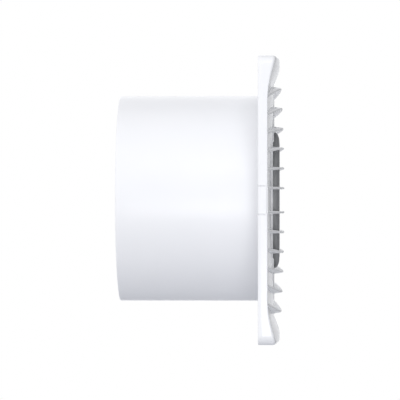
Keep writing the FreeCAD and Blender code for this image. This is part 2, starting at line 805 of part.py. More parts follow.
def impeller():
    """Cup-shaped hub with seven twisted blades, one moulding, with a boss on the shaft."""
    outer = rod(hub_r, impeller_front, hub_back)
    nose = [e for e in outer.Edges if abs(e.CenterOfMass.y - impeller_front) < 0.01
            and isinstance(e.Curve, Part.Circle)]
    outer = outer.makeFillet(hub_round, nose)
    inner = rod(hub_r - hub_wall, impeller_front + hub_wall, hub_back + 1)
    boss = rod(hub_boss_r, impeller_front, hub_back - 1)
    inner_r = hub_r - hub_wall / 2
    sections = [blade_section(inner_r - 3, blade_root_chord, blade_root_pitch),
                blade_section((inner_r + impeller_r) / 2, (blade_root_chord + blade_tip_chord) / 2,
                              (blade_root_pitch + blade_tip_pitch) / 2),
                blade_section(impeller_r + 2, blade_tip_chord, blade_tip_pitch)]
    blade = Part.makeLoft(sections, True, False)
    band = ring(impeller_r, inner_r, impeller_front - 2, hub_back + 2)
    blade = blade.common(band)
    cup = outer.cut(inner).fuse(boss)
    body = joined([cup] + around(blade, blade_count))
    return body.cut(rod(shaft_r, -5, hub_back + 5))


def impeller_washer():
    return ring(washer_r, shaft_r, impeller_front - washer_thickness, impeller_front)


def impeller_nut():
    back = impeller_front - washer_thickness
    corner_r = nut_flats / math.sqrt(3)
    corners = [V(corner_r * math.cos(math.radians(60 * i)), back - nut_height,
                 corner_r * math.sin(math.radians(60 * i))) for i in range(6)]
    nut = Part.Face(Part.makePolygon(corners + corners[:1])).extrude(V(0, nut_height, 0))
    cone = spun([(0, back - nut_height), (nut_flats / 2, back - nut_height),
                 (corner_r + 0.3, back - nut_height + 0.9), (corner_r + 0.3, back), (0, back)])
    return nut.common(cone).cut(rod(shaft_r, back - nut_height - 1, back + 1))


# ---------------------------------------------------------------- leads
def motor_lead(x):
    """Insulated wire from the terminal block, along the spigot wall and up to the motor."""
    start_z = wiring_z + block_width / 2
    low_z = -math.sqrt((duct_r - lead_wall_gap - lead_r) ** 2 - max(lead_xs) ** 2)
    front_y = -plate_thickness - lead_r - lead_plate_gap
    end_z = -stator_inner_r + 3
    corners = [V(x, front_y, start_z), V(x, front_y, low_z), V(x, lead_rise_y, low_z),
               V(x, lead_rise_y, end_z)]
    edges = []
    here = corners[0]
    for i in (1, 2):
        back = (corners[i - 1] - corners[i]).normalize()
        ahead = (corners[i + 1] - corners[i]).normalize()
        entry = corners[i] + back * lead_bend_r
        leave = corners[i] + ahead * lead_bend_r
        middle = corners[i] + (back + ahead) * lead_bend_r * (1 - math.sqrt(0.5))
        edges.append(Part.LineSegment(here, entry).toShape())
        edges.append(Part.Arc(entry, middle, leave).toShape())
        here = leave
    edges.append(Part.LineSegment(here, corners[3]).toShape())
    circle = Part.Circle(corners[0], V(0, 0, 1), lead_r).toShape()
    return Part.Wire(edges).makePipeShell([Part.Wire(circle)], True, True)


def main():
    nodes = {
        "back_plate": back_plate(),
        "duct_spigot": duct_spigot(),
        "cover_frame": cover_frame(),
        "slat_grille": slat_grille(),
        "centre_disc": centre_disc(),
        "screen_frame": screen_frame(),
        "insect_screen": insect_screen(),
        "terminal_block": terminal_block(),
        "terminal_screws": terminal_screws(),
        "wiring_cover": wiring_cover(),
        "wiring_cover_screw": wiring_cover_screw(),
        "cable_clamp": cable_clamp(),
        "clamp_screws": clamp_screws(),
        "cable_grommet": cable_grommet(),
        "stator_core": stator_core(),
        "shading_rings": shading_rings(),
        "coil_bobbins": coil_bobbins(),
        "coil_windings": coil_windings(),
        "rotor_core": rotor_core(),
        "rotor_end_rings": rotor_end_rings(),
        "motor_shaft": motor_shaft(),
        "front_bearing": bearing_at(front_bell_y - 2),
        "rear_bearing": bearing_at(rear_bell_y + 1 - bearing_length),
        "front_bracket": front_bracket(),
        "rear_bracket": rear_bracket(),
        "motor_screws": motor_screws(),
        "thermal_fuse": thermal_fuse(),
        "motor_cradle": motor_cradle(),
        "cradle_screws": cradle_screws(),
        "impeller": impeller(),
        "impeller_washer": impeller_washer(),
        "impeller_nut": impeller_nut(),
        "motor_lead_live": motor_lead(lead_xs[0]),
        "motor_lead_neutral": motor_lead(lead_xs[1]),
    }
    os.makedirs("parts", exist_ok=True)
    for name, shape in nodes.items():
        box_size = shape.BoundBox
        print(name, "solids", len(shape.Solids), "valid", shape.isValid(),
              "volume %.0f" % shape.Volume,
              "Y %.1f..%.1f" % (box_size.YMin, box_size.YMax))
        shape.exportStep("parts/%s.step" % name)


main()
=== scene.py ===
"""Bathroom extractor fan: the looks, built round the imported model.

Everything is in metres in the model's own frame: the duct axis is Y, the spigot points along +Y,
the slatted cover faces -Y and +Z is up.  A "depth" is a distance in front of the wall, so a point
at depth d has y = -d.
"""

import json
import math

import bmesh
import bpy
from bpy.props import FloatProperty, FloatVectorProperty, IntProperty, PointerProperty
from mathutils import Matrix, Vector


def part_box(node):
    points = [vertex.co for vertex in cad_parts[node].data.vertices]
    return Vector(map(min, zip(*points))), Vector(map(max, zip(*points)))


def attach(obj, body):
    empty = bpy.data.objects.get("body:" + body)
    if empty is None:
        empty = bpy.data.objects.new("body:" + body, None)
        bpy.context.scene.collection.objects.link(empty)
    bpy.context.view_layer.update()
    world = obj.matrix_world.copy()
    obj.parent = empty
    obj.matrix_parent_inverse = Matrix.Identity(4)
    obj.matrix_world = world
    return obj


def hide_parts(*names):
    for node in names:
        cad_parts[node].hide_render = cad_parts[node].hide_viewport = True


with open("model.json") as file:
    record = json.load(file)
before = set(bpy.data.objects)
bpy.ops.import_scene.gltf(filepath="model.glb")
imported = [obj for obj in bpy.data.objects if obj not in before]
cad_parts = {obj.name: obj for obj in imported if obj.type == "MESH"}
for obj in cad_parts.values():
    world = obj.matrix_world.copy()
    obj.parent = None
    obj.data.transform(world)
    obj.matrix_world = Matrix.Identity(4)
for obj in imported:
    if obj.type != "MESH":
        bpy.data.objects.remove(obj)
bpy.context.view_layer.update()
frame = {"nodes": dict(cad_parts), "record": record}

bl_info = {
    "name": "Extractor Fan Maker",
    "version": (1, 0, 0),
    "blender": (4, 5, 0),
    "location": "View3D > Sidebar > Fan",
    "description": "Builds a white slatted bathroom extractor fan round its engineering model",
    "category": "Add Mesh",
}

MM = 0.001
FULL_TURN = 2 * math.pi
COVER_LOW, COVER_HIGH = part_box("cover_frame")
COVER_Z = (COVER_LOW.z + COVER_HIGH.z) / 2
COVER_HALF = (COVER_HIGH.x - COVER_LOW.x) / 2
DISC_LOW, DISC_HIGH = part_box("centre_disc")
SPIGOT_LOW, SPIGOT_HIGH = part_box("duct_spigot")
SCREEN_LOW, SCREEN_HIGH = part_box("insect_screen")
STACK_LOW, STACK_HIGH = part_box("stator_core")


# ---------------------------------------------------------------- what a user would change
class FanCoverSizes(bpy.types.PropertyGroup):
    """Sizes of the front cover, its slats and its disc."""

    wall: FloatProperty(name="Cover wall", description="Thickness of the cover's wall",
                        default=1.8 * MM, unit="LENGTH", precision=4)
    edge_depth: FloatProperty(name="Edge depth", description="Depth at the left and right edges",
                              default=5.5 * MM, unit="LENGTH", precision=4)
    mid_depth: FloatProperty(name="Middle depth", description="Depth on the centre line",
                             default=9.4 * MM, unit="LENGTH", precision=4)
    swell: FloatProperty(name="Bar swell", description="Extra depth of the top and bottom bars",
                         default=3.55 * MM, unit="LENGTH", precision=4)
    end_swell: FloatProperty(name="Bar end swell", description="More swell at the bars' ends",
                             default=2.0 * MM, unit="LENGTH", precision=4)
    crest_inset: FloatProperty(name="Crest inset", description="From the edge in to a bar's crest",
                               default=3.0 * MM, unit="LENGTH", precision=4)
    swell_reach: FloatProperty(name="Swell reach", description="Width of the curve up to a crest",
                               default=12.0 * MM, unit="LENGTH", precision=4)
    corner: FloatProperty(name="Corner radius", description="Radius of the four corners",
                          default=6.0 * MM, unit="LENGTH", precision=4)
    edge_round: FloatProperty(name="Edge round", description="Rounding of the cover's outer edge",
                              default=0.5 * MM, unit="LENGTH", precision=4)
    bar_edge_round: FloatProperty(name="Bar end round", description="More rounding at the bars' ends",
                                  default=2.0 * MM, unit="LENGTH", precision=4)
    opening: FloatProperty(name="Opening radius", description="Radius of the air opening",
                           default=60.0 * MM, unit="LENGTH", precision=4)
    tab_half: FloatProperty(name="Tab half height", description="Half height of the side tabs",
                            default=8.2 * MM, unit="LENGTH", precision=4)
    tab_groove: FloatProperty(name="Tab groove", description="Width and depth of a tab's grooves",
                              default=0.75 * MM, unit="LENGTH", precision=5)
    slat_pairs: IntProperty(name="Slat pairs", description="Slats above the middle, and below it",
                            default=6, min=1)
    slat_thickness: FloatProperty(name="Slat thickness", description="Thickness of a slat",
                                  default=1.8 * MM, unit="LENGTH", precision=4)
    slat_tip_thickness: FloatProperty(name="Slat tip", description="Thickness of a slat's tip",
                                      default=1.25 * MM, unit="LENGTH", precision=4)
    slat_mid_first: FloatProperty(name="First slat, middle",
                                  description="Height of the first slat on the centre line",
                                  default=7.3 * MM, unit="LENGTH", precision=4)
    slat_mid_pitch: FloatProperty(name="Slat pitch, middle", description="Slat to slat",
                                  default=11.9 * MM, unit="LENGTH", precision=4)
    slat_end_first: FloatProperty(name="First slat, end",
                                  description="Height of the first slat at the edges",
                                  default=6.9 * MM, unit="LENGTH", precision=4)
    slat_end_pitch: FloatProperty(name="Slat pitch, end", description="Slat to slat at the edges",
                                  default=10.5 * MM, unit="LENGTH", precision=4)
    slat_tip: FloatProperty(name="Slat depth", description="Depth of the deepest slat",
                            default=15.9 * MM, unit="LENGTH", precision=4)
    slat_tip_loss: FloatProperty(name="Slat depth loss",
                                 description="Times the slat's number squared",
                                 default=0.07 * MM, unit="LENGTH", precision=5)
    slat_lean: FloatProperty(name="Slat lean", description="Slope of a slat, times its number",
                             default=0.03, min=0.0)
    rib: FloatProperty(name="Rib thickness", description="Thickness of the upright ribs",
                       default=1.8 * MM, unit="LENGTH", precision=4)
    rib_pitch: FloatProperty(name="Rib pitch", description="Distance between the upright ribs",
                             default=21.0 * MM, unit="LENGTH", precision=4)
    disc_face: FloatProperty(name="Disc face radius", description="Radius inside the disc's bevel",
                             default=35.0 * MM, unit="LENGTH", precision=4)
    disc_bevel: FloatProperty(name="Disc bevel depth", description="Depth where the bevel starts",
                              default=10.3 * MM, unit="LENGTH", precision=4)
    screen_pitch: FloatProperty(name="Screen pitch", description="Wire to wire of the screen",
                                default=1.9 * MM, unit="LENGTH", precision=4)
    screen_wire: FloatProperty(name="Screen wire", description="Diameter of a screen wire",
                               default=0.36 * MM, unit="LENGTH", precision=5)


class FanInnerSizes(bpy.types.PropertyGroup):
    """Sizes of the duct spigot, its screw bosses and the motor's coils."""

    spigot_radius: FloatProperty(name="Spigot radius", description="Outside radius of the spigot",
                                 default=62.0 * MM, unit="LENGTH", precision=4)
    spigot_wall: FloatProperty(name="Spigot wall", description="Thickness of the spigot's wall",
                               default=2.0 * MM, unit="LENGTH", precision=4)
    boss_radius: FloatProperty(name="Boss radius", description="Radius of a screw boss",
                               default=4.2 * MM, unit="LENGTH", precision=4)
    boss_length: FloatProperty(name="Boss length", description="Length of a boss behind its foot",
                               default=16.0 * MM, unit="LENGTH", precision=4)
    boss_hole: FloatProperty(name="Boss hole", description="Radius of the screw hole in a boss",
                             default=1.7 * MM, unit="LENGTH", precision=4)
    coil_wire: FloatProperty(name="Coil wire", description="Diameter of the enamelled wire",
                             default=0.8 * MM, unit="LENGTH", precision=5)
    coil_layers: IntProperty(name="Coil layers", description="Layers of wire in a coil",
                             default=4, min=1)
    coil_core_half: FloatProperty(name="Coil core", description="Half width of a bobbin's core",
                                  default=7.8 * MM, unit="LENGTH", precision=4)
    coil_inner: FloatProperty(name="Coil inner radius", description="Where a coil starts",
                              default=20.8 * MM, unit="LENGTH", precision=4)
    coil_outer: FloatProperty(name="Coil outer radius", description="Where a coil ends",
                              default=26.2 * MM, unit="LENGTH", precision=4)


class FanFinishes(bpy.types.PropertyGroup):
    """Colours of the fan's plastics and metals; the slat and disc colours also carry painted light and
    painted shade.
    """

    cover_white: FloatVectorProperty(name="Cover white", description="Gloss white of the mouldings",
                                     subtype="COLOR", default=(0.88, 0.885, 0.905))
    # Painted light: the slats are the cover's own white plastic, made brighter so their tops look lit
    # from above.
    slat_lit_white: FloatVectorProperty(name="Slat white", description="Softer white of the slats",
                                    subtype="COLOR", default=(0.94, 0.945, 0.955))
    # Painted shade: the centre disc's dark grey is set to the darkness of the shade it sits in between
    # the slats.
    disc_shade_grey: FloatVectorProperty(name="Disc", description="Colour of the centre disc",
                                   subtype="COLOR", default=(0.27, 0.275, 0.28))
    impeller_white: FloatVectorProperty(name="Impeller", description="Colour of the impeller",
                                        subtype="COLOR", default=(0.80, 0.81, 0.83))
    screen_grey: FloatVectorProperty(name="Screen", description="Colour of the insect screen",
                                     subtype="COLOR", default=(0.22, 0.23, 0.24))
    copper: FloatVectorProperty(name="Copper", description="Colour of the enamelled wire",
                                subtype="COLOR", default=(0.60, 0.22, 0.08))
    lead_brown: FloatVectorProperty(name="Live lead", description="Colour of the live lead",
                                    subtype="COLOR", default=(0.16, 0.06, 0.025))
    lead_blue: FloatVectorProperty(name="Neutral lead", description="Colour of the neutral lead",
                                   subtype="COLOR", default=(0.02, 0.10, 0.42))


class FanStage(bpy.types.PropertyGroup):
    """Light and floor round the fan."""

    room_level: FloatProperty(name="Room light", description="Mean brightness of the room",
                              default=0.62, min=0.0)
    room_swing: FloatProperty(name="Room swing", description="Brighter and dimmer sides, plus or minus",
                              default=0.62, min=0.0)
    bright_side: FloatVectorProperty(name="Bright side", description="Where the room is brightest",
                                     subtype="DIRECTION", default=(-0.77, 0.50, 0.34))
    backdrop: FloatProperty(name="Backdrop", description="Extra brightness beyond the fan",
                            default=1.2, min=0.0)
    key_power: FloatProperty(name="Key light", description="Power of the softbox at the left",
                             default=4.5, min=0.0, subtype="POWER")
    low_power: FloatProperty(name="Low light", description="Power of the softbox by the camera",
                             default=9.5, min=0.0, subtype="POWER")
    floor_drop: FloatProperty(name="Floor drop", description="From the cover down to the floor",
                              default=0.30, unit="LENGTH")
    floor_tone: FloatProperty(name="Floor tone", description="How much light the floor returns",
                              default=0.62, min=0.0, max=1.0)
    floor_tint: FloatVectorProperty(name="Floor tint", description="Slight blue of the floor",
                                    subtype="COLOR", max=1.1, default=(0.98, 1.0, 1.06))
    floor_radius: FloatProperty(name="Floor radius", description="Radius of the round floor",
                                default=1.1, unit="LENGTH")


def sizes():
    return bpy.context.scene.fan_cover_sizes


def inner_sizes():
    return bpy.context.scene.fan_inner_sizes


def finishes():
    return bpy.context.scene.fan_finishes


def stage_values():
    return bpy.context.scene.fan_stage


# ---------------------------------------------------------------- shader groups
def new_group(name, inputs, outputs):
    """An empty shader group: inputs are (name, default), outputs are (name, socket type)."""
    group = bpy.data.node_groups.new(name, "ShaderNodeTree")
    for label, value in inputs:
        socket = group.interface.new_socket(label, in_out="INPUT", socket_type="NodeSocketFloat")
        socket.default_value = value
    for label, kind in outputs:
        group.interface.new_socket(label, in_out="OUTPUT", socket_type=kind)
    return group, group.nodes.new("NodeGroupInput"), group.nodes.new("NodeGroupOutput")


def noise(group, scale, detail, vector):
    node = group.nodes.new("ShaderNodeTexNoise")
    node.inputs["Scale"].default_value = scale
    node.inputs["Detail"].default_value = detail
    group.links.new(vector, node.inputs["Vector"])
    return node


def blend_range(group, value, low, high):
    """Maps a 0 to 1 value onto low to high, which are sockets or numbers."""
    node = group.nodes.new("ShaderNodeMapRange")
    group.links.new(value, node.inputs["Value"])
    for label, end in (("To Min", low), ("To Max", high)):
        if isinstance(end, float):
            node.inputs[label].default_value = end
        else:
            group.links.new(end, node.inputs[label])
    return node.outputs["Result"]


def moulded_skin_group():
    """Slight orange peel, flow shade and uneven gloss of injection-moulded plastic."""
    group, given, made = new_group(
        "moulded_skin",
        [("Grain Size", 900.0), ("Grain Height", 0.4), ("Gloss Low", 0.28), ("Gloss High", 0.38),
         ("Shade Low", 0.97)],
        [("Shade", "NodeSocketFloat"), ("Roughness", "NodeSocketFloat"),
         ("Height", "NodeSocketFloat")])
    place = group.nodes.new("ShaderNodeTexCoord").outputs["Object"]
    grain = noise(group, 900.0, 3.0, place)
    group.links.new(given.outputs["Grain Size"], grain.inputs["Scale"])
    flow = noise(group, 22.0, 2.0, place)
    smudge = noise(group, 60.0, 4.0, place)
    shade = blend_range(group, flow.outputs["Fac"], given.outputs["Shade Low"], 1.0)
    gloss = blend_range(group, smudge.outputs["Fac"], given.outputs["Gloss Low"],
                        given.outputs["Gloss High"])
    height = group.nodes.new("ShaderNodeMath")
    height.operation = "MULTIPLY"
    group.links.new(grain.outputs["Fac"], height.inputs[0])
    group.links.new(given.outputs["Grain Height"], height.inputs[1])
    group.links.new(shade, made.inputs["Shade"])
    group.links.new(gloss, made.inputs["Roughness"])
    group.links.new(height.outputs[0], made.inputs["Height"])
    return group


def worked_metal_group():
    """Fine tool lines along the fan's axis, with grain and small stains."""
    group, given, made = new_group(
        "worked_metal",
        [("Line Scale", 700.0), ("Line Height", 0.3), ("Grain Size", 1200.0),
         ("Gloss Low", 0.25), ("Gloss High", 0.5), ("Shade Low", 0.8)],
        [("Shade", "NodeSocketFloat"), ("Roughness", "NodeSocketFloat"),
         ("Height", "NodeSocketFloat")])
    place = group.nodes.new("ShaderNodeTexCoord").outputs["Object"]
    lines = group.nodes.new("ShaderNodeTexWave")
    lines.bands_direction = "Y"
    lines.inputs["Distortion"].default_value = 0.6
    group.links.new(place, lines.inputs["Vector"])
    group.links.new(given.outputs["Line Scale"], lines.inputs["Scale"])
    grain = noise(group, 1200.0, 4.0, place)
    group.links.new(given.outputs["Grain Size"], grain.inputs["Scale"])
    stain = noise(group, 90.0, 3.0, place)
    shade = blend_range(group, stain.outputs["Fac"], given.outputs["Shade Low"], 1.0)
    gloss = blend_range(group, grain.outputs["Fac"], given.outputs["Gloss Low"],
                        given.outputs["Gloss High"])
    height = group.nodes.new("ShaderNodeMath")
    height.operation = "MULTIPLY_ADD"
    group.links.new(lines.outputs["Fac"], height.inputs[0])
    group.links.new(given.outputs["Line Height"], height.inputs[1])
    group.links.new(grain.outputs["Fac"], height.inputs[2])
    group.links.new(shade, made.inputs["Shade"])
    group.links.new(gloss, made.inputs["Roughness"])
    group.links.new(height.outputs[0], made.inputs["Height"])
    return group


# ---------------------------------------------------------------- materials
def surface(name, group_name, colour, values, metallic=0.0, bump=0.05, dark=0.86):
    """A material: one Principled shader fed by a shared group placed with its own values."""
    material = bpy.data.materials.new(name)
    material.use_nodes = True
    tree = material.node_tree
    shader = tree.nodes["Principled BSDF"]
    shader.inputs["Metallic"].default_value = metallic
    skin = tree.nodes.new("ShaderNodeGroup")
    skin.node_tree = bpy.data.node_groups[group_name]
    for label, value in values.items():
        skin.inputs[label].default_value = value
    tint = tree.nodes.new("ShaderNodeMix")
    tint.data_type = "RGBA"
    tint.inputs["A"].default_value = (*[c * dark for c in colour], 1.0)
    tint.inputs["B"].default_value = (*colour, 1.0)
    tree.links.new(skin.outputs["Shade"], tint.inputs["Factor"])
    tree.links.new(tint.outputs["Result"], shader.inputs["Base Color"])
    tree.links.new(skin.outputs["Roughness"], shader.inputs["Roughness"])
    height = tree.nodes.new("ShaderNodeBump")
    height.inputs["Strength"].default_value = bump
    height.inputs["Distance"].default_value = 0.05 * MM
    tree.links.new(skin.outputs["Height"], height.inputs["Height"])
    tree.links.new(height.outputs["Normal"], shader.inputs["Normal"])
    return material


def plastic(name, colour, gloss=(0.28, 0.38), grain=900.0, bump=0.05, shade=0.9):
    values = {"Grain Size": grain, "Gloss Low": gloss[0], "Gloss High": gloss[1],
              "Shade Low": shade}
    return surface(name, "moulded_skin", colour, values, bump=bump)


def metal(name, colour, gloss=(0.25, 0.5), lines=700.0, line_height=0.3, bump=0.2, shade=0.5):
    values = {"Line Scale": lines, "Line Height": line_height, "Gloss Low": gloss[0],
              "Gloss High": gloss[1], "Shade Low": shade}
    return surface(name, "worked_metal", colour, values, metallic=1.0, bump=bump)


def make_materials():
    moulded_skin_group()
    worked_metal_group()
    colours = finishes()
    plastic("cover_white", colours.cover_white, gloss=(0.14, 0.2), bump=0.02, shade=0.75)
    # Painted light: the slats get a brighter copy of the cover's white, with less random darkening, so
    # their tops look lit from above.
    plastic("slat_lit_white", colours.slat_lit_white, gloss=(0.3, 0.38), bump=0.02, shade=0.9)
    plastic("spigot_white", colours.cover_white, gloss=(0.27, 0.34), shade=0.75)
    # Painted shade: the disc's dark grey stands in for the shade between the slats.
    plastic("disc_painted_shade", colours.disc_shade_grey, gloss=(0.38, 0.5))
    plastic("impeller_white", colours.impeller_white, gloss=(0.34, 0.46))
    plastic("screen_fibre", colours.screen_grey, gloss=(0.45, 0.6), grain=2500.0)
    plastic("terminal_ivory", (0.66, 0.63, 0.52), gloss=(0.4, 0.55))
    plastic("bobbin_nylon", (0.58, 0.53, 0.40), gloss=(0.45, 0.6))
    plastic("fuse_black", (0.02, 0.02, 0.022), gloss=(0.3, 0.5))
    plastic("grommet_rubber", (0.025, 0.025, 0.027), gloss=(0.6, 0.8), bump=0.2)
    plastic("lead_brown", colours.lead_brown, gloss=(0.35, 0.5))
    plastic("lead_blue", colours.lead_blue, gloss=(0.35, 0.5))
    metal("zinc_plate", (0.62, 0.63, 0.60), gloss=(0.22, 0.4), lines=300.0, line_height=0.1)
    metal("stack_steel", (0.24, 0.25, 0.27), gloss=(0.35, 0.55), lines=320.0, line_height=2.0)
    metal("cast_aluminium", (0.58, 0.59, 0.60), gloss=(0.4, 0.6), lines=90.0, line_height=0.0)
    metal("ground_steel", (0.62, 0.62, 0.63), gloss=(0.12, 0.22), lines=1500.0)
    metal("sintered_bronze", (0.42, 0.26, 0.12), gloss=(0.4, 0.6), lines=90.0, line_height=0.0)
    metal("enamelled_copper", colours.copper, gloss=(0.2, 0.34), lines=400.0, line_height=0.2)


# Engineering parts kept in their own shape: the finish, and the rounding of edges in millimetres.
NODE_FINISH = {
    "terminal_block": ("terminal_ivory", 0.25),
    "terminal_screws": ("zinc_plate", 0.08),
    "wiring_cover": ("cover_white", 0.3),
    "wiring_cover_screw": ("zinc_plate", 0.06),
    "cable_clamp": ("cover_white", 0.25),
    "clamp_screws": ("zinc_plate", 0.06),
    "cable_grommet": ("grommet_rubber", 0.4),
    "stator_core": ("stack_steel", 0.12),
    "shading_rings": ("enamelled_copper", 0.15),
    "coil_bobbins": ("bobbin_nylon", 0.12),
    "rotor_core": ("stack_steel", 0.2),
    "rotor_end_rings": ("cast_aluminium", 0.3),
    "motor_shaft": ("ground_steel", 0.1),
    "front_bearing": ("sintered_bronze", 0.2),
    "rear_bearing": ("sintered_bronze", 0.2),
    "front_bracket": ("cast_aluminium", 0.4),
    "rear_bracket": ("cast_aluminium", 0.4),
    "motor_screws": ("zinc_plate", 0.08),
    "thermal_fuse": ("fuse_black", 0.1),
    "motor_cradle": ("cover_white", 0.5),
    "cradle_screws": ("zinc_plate", 0.08),
    "impeller": ("impeller_white", 0.3),
    "impeller_washer": ("zinc_plate", 0.1),
    "impeller_nut": ("zinc_plate", 0.12),
    "screen_frame": ("cover_white", 0.25),
    "back_plate": ("cover_white", 0.3),
    "motor_lead_live": ("lead_brown", 0.0),
    "motor_lead_neutral": ("lead_blue", 0.0),
}


# ---------------------------------------------------------------- mesh helpers
def body_of(node):
    for body, nodes in frame["record"]["behaviour"]["bodies"].items():
        if node in nodes:
            return body
    raise RuntimeError(f"no body holds {node}")


def add_piece(mesh, name, node, finish):
    """Puts a mesh in the scene in place of a node, riding on the node's body."""
    piece = bpy.data.objects.new(name, mesh)
    bpy.context.scene.collection.objects.link(piece)
    mesh.materials.clear()
    mesh.materials.append(bpy.data.materials[finish])
    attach(piece, body_of(node))
    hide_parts(node)
    return piece


def mesh_from(name, build, smooth_angle=35.0):
    """A mesh filled by build(bm), smooth except across edges sharper than the angle."""
    bm = bmesh.new()
    build(bm)
    bmesh.ops.remove_doubles(bm, verts=bm.verts, dist=1e-7)
    bmesh.ops.recalc_face_normals(bm, faces=bm.faces)
    for face in bm.faces:
        face.smooth = True
    mesh = bpy.data.meshes.new(name)
    bm.to_mesh(mesh)
    bm.free()
    mesh.set_sharp_from_angle(angle=math.radians(smooth_angle))
    return mesh


def add_rows(bm, rows, wrap_rows=True, wrap_points=True):
    """Quads between rows of points; a row and the list of rows may each close on itself."""
    made = [[bm.verts.new(point) for point in row] for row in rows]
    row_count = len(made)
    for i in range(row_count if wrap_rows else row_count - 1):
        here = made[i]
        ahead = made[(i + 1) % row_count]
        count = len(here)
        for j in range(count if wrap_points else count - 1):
            k = (j + 1) % count
            bm.faces.new((here[j], here[k], ahead[k], ahead[j]))
    return made


def spin_profile(bm, profile, count):
    """A closed profile of (radius, y) points turned about the duct axis."""
    rows = []
    for radius, y in profile:
        row = []
        for i in range(count):
            angle = FULL_TURN * i / count
            row.append(Vector((radius * math.cos(angle), y, radius * math.sin(angle))))
        rows.append(row)
    add_rows(bm, rows)


def round_corner(profile, radius, steps=4):
    """Rounds every corner of a closed (radius, y) profile."""
    made = []
    count = len(profile)
    for i in range(count):
        here = Vector(profile[i])
        back = Vector(profile[i - 1]) - here
        ahead = Vector(profile[(i + 1) % count]) - here
        reach = min(radius, back.length * 0.45, ahead.length * 0.45)
        start = here + back.normalized() * reach
        end = here + ahead.normalized() * reach
        for step in range(steps + 1):
            t = step / steps
            point = start * (1 - t) ** 2 + here * 2 * t * (1 - t) + end * t ** 2
            made.append((point.x, point.y))
    return made


def eased_copy(node, width):
    """A copy of a node's mesh, welded, with its flat faces merged and its sharp edges rounded."""
    bm = bmesh.new()
    bm.from_mesh(frame["nodes"][node].data)
    bmesh.ops.remove_doubles(bm, verts=bm.verts, dist=2e-6)
    if width > 0:
        bmesh.ops.dissolve_limit(bm, angle_limit=math.radians(0.6), verts=bm.verts,
                                 edges=bm.edges, use_dissolve_boundaries=False)
        sharp = [e for e in bm.edges
                 if len(e.link_faces) == 2 and e.calc_face_angle(0.0) > math.radians(32)]
        bmesh.ops.bevel(bm, geom=sharp, offset=width * MM, offset_type="OFFSET", segments=2,
                        profile=0.5, affect="EDGES", clamp_overlap=True)
    bmesh.ops.recalc_face_normals(bm, faces=bm.faces)
    for face in bm.faces:
        face.smooth = True
    mesh = bpy.data.meshes.new(node + "_finished")
    bm.to_mesh(mesh)
    bm.free()
    mesh.set_sharp_from_angle(angle=math.radians(40))
    return mesh


# ---------------------------------------------------------------- curves of the front
def along(x):
    """0 on the centre line to 1 at the left and right edges."""
    return (x / COVER_HALF) ** 2


def base_depth(x):
    s = sizes()
    return s.mid_depth - (s.mid_depth - s.edge_depth) * along(x)


def slat_height(number, x):
    s = sizes()
    middle = s.slat_mid_first + s.slat_mid_pitch * number
    end = s.slat_end_first + s.slat_end_pitch * number
    return middle - (middle - end) * along(x)


def slat_depth(number, x):
    s = sizes()
    tip = s.slat_tip - s.slat_tip_loss * number ** 2
    return tip - (tip - s.edge_depth) * along(x)


def front_depth(x, z):
    """Depth of the cover's front; z is measured from the cover's middle."""
    s = sizes()
    crest = COVER_HALF - s.crest_inset
    start = slat_height(s.slat_pairs - 1, x) + s.slat_thickness / 2
    start = min(start, crest - s.swell_reach)
    middle = min(max((abs(z) - start) / (crest - start), 0.0), 1.0)
    middle = middle * middle * (3 - 2 * middle)
    end = max((abs(z) - start) / (COVER_HALF - start), 0.0) ** 1.5
    share = middle + (end - middle) * along(x)
    return base_depth(x) + (s.swell + s.end_swell * along(x)) * share


# ---------------------------------------------------------------- cover
def side_shares():
    """Places along a straight side, with extra ones at the tab's two grooves."""
    s = sizes()
    straight = COVER_HALF - s.corner
    places = [i / 26 * 2 - 1 for i in range(1, 26)]
    for edge in (-s.tab_half, s.tab_half):
        for offset in (-1.5, -0.5, -0.4, 0.4, 0.5, 1.5):
            places.append((edge + offset * s.tab_groove) / straight)
    return sorted(places)


def outline(inset):
    """The rounded square at this inset, as (x, z) from the cover's middle."""
    s = sizes()
    reach = COVER_HALF - s.corner
    radius = max(s.corner - inset, 0.05 * MM)
    steps = 12
    points = []
    for quarter in range(4):
        turn = math.pi / 2 * quarter
        for i in range(steps + 1):
            angle = -math.pi / 4 + math.pi / 2 * (i / steps - 0.5)
            local_x = reach + radius * math.cos(angle)
            local_z = -reach + radius * math.sin(angle)
            points.append(turned_point(local_x, local_z, turn))
        for share in side_shares():
            points.append(turned_point(COVER_HALF - inset, reach * share, turn))
    return points


def edge_rounds():
    """Rounding of the outer edge at each point of the outline: most at the bars' ends."""
    s = sizes()
    rounds = []
    for x, z in outline(0.0):
        swell = (front_depth(x, z) - base_depth(x)) / (s.swell + s.end_swell)
        rounds.append(s.edge_round + s.bar_edge_round * min(swell, 1.0) * along(x))
    return rounds


def inset_outline(insets):
    """The outline moved inwards by each point's own inset."""
    points = []
    for (x, z), (deep_x, deep_z), inset in zip(outline(0.0), outline(1.0 * MM), insets):
        share = inset / (1.0 * MM)
        points.append((x + (deep_x - x) * share, z + (deep_z - z) * share))
    return points


def turned_point(x, z, angle):
    return (x * math.cos(angle) - z * math.sin(angle), x * math.sin(angle) + z * math.cos(angle))


def groove_at(x, z):
    """1 in a tab groove on the left or right side, otherwise 0."""
    s = sizes()
    on_side = abs(x) > COVER_HALF - s.corner * 0.5
    near = abs(abs(z) - s.tab_half) < s.tab_groove * 0.45
    return 1.0 if on_side and near else 0.0


def tab_at(x, z):
    """1 on a side tab's front edge, otherwise 0."""
    s = sizes()
    on_side = abs(x) > COVER_HALF - s.corner * 0.5
    return 1.0 if on_side and abs(z) < s.tab_half else 0.0


def cover_point(x, z, depth):
    return Vector((x, -depth, z + COVER_Z))


